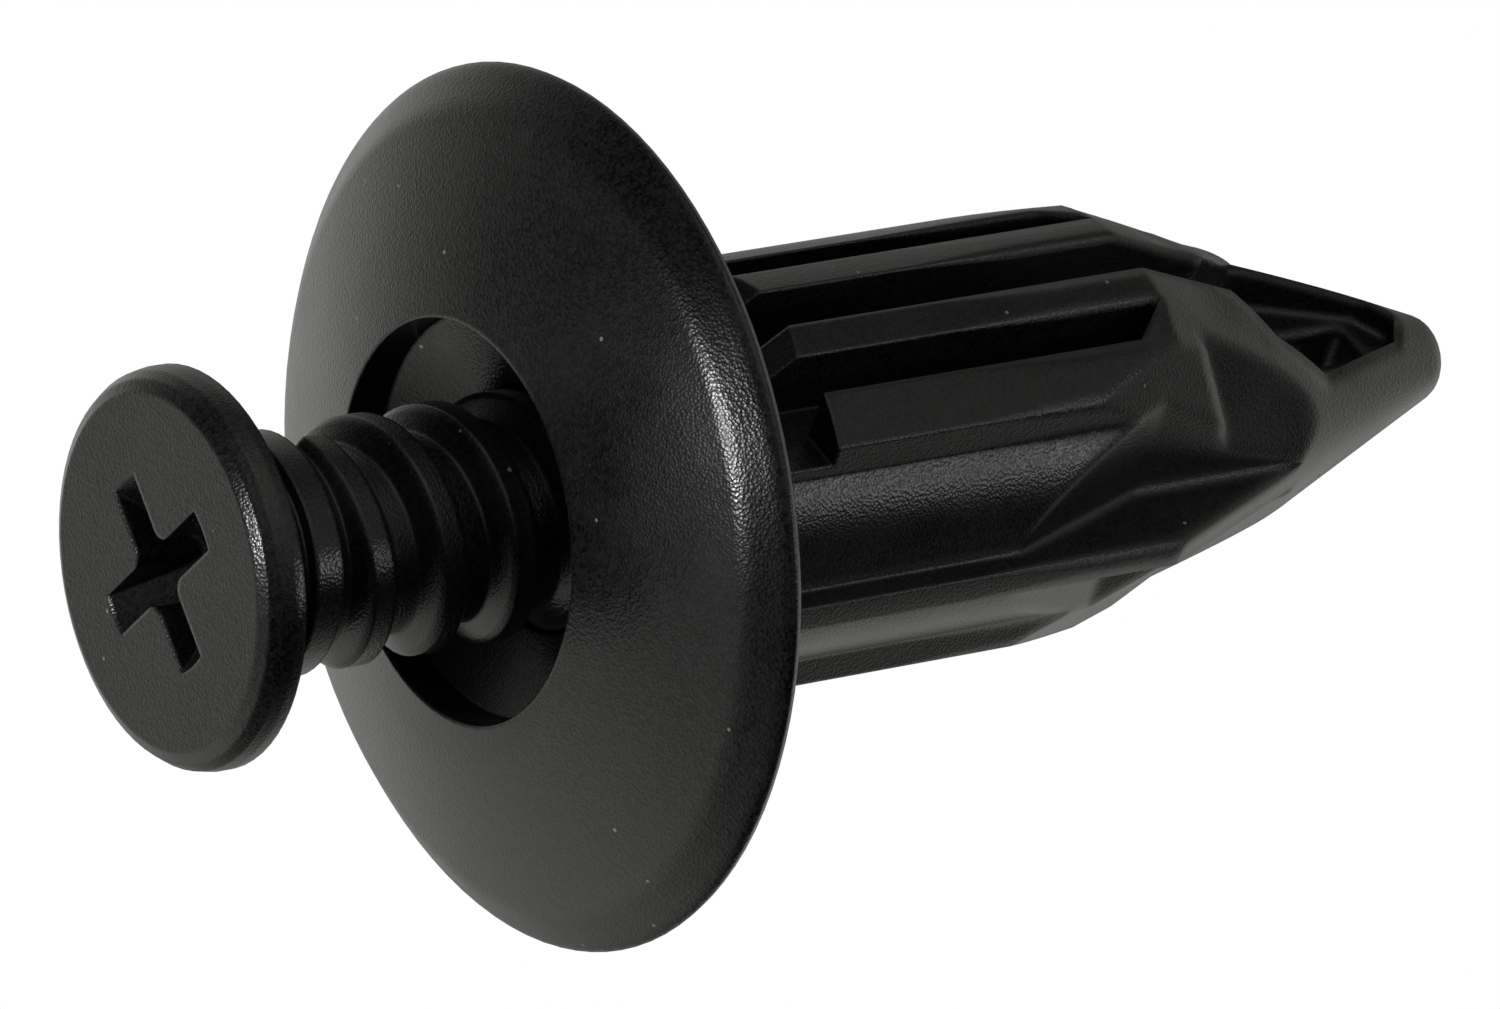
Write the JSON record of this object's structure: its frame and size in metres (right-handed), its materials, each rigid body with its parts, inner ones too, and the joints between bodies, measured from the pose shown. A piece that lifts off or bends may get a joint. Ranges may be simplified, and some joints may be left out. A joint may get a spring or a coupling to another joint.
{
  "type": "screw-type panel retainer clip",
  "caption": "Black plastic panel retainer: domed flange, split tapered shank with ribbed legs, and a cross-recess screw that drives in to spread them.",
  "frame": {"origin": "centre of the outer face of the screw's head, at the lowest point of the part", "axes": "+Z along the shank from the screw's head to the pointed tip; +X lies in the slot that parts the two legs; +Y crosses the slot through the middle of a leg"},
  "size_m": [0.02, 0.02, 0.035],
  "materials": {
    "moulded_body": "fine satin moulded nylon, black",
    "moulded_screw": "fine satin moulded acetal, black"
  },
  "bodies": {
    "body": {"retainer_body": "moulded_body"},
    "screw": {"expander_screw": "moulded_screw"}
  },
  "joints": [
    {"name": "screw_drive", "type": "slide", "parent": "body", "child": "screw", "axis": [0, 0, 1], "range_m": [0, 0.0077]}
  ]
}
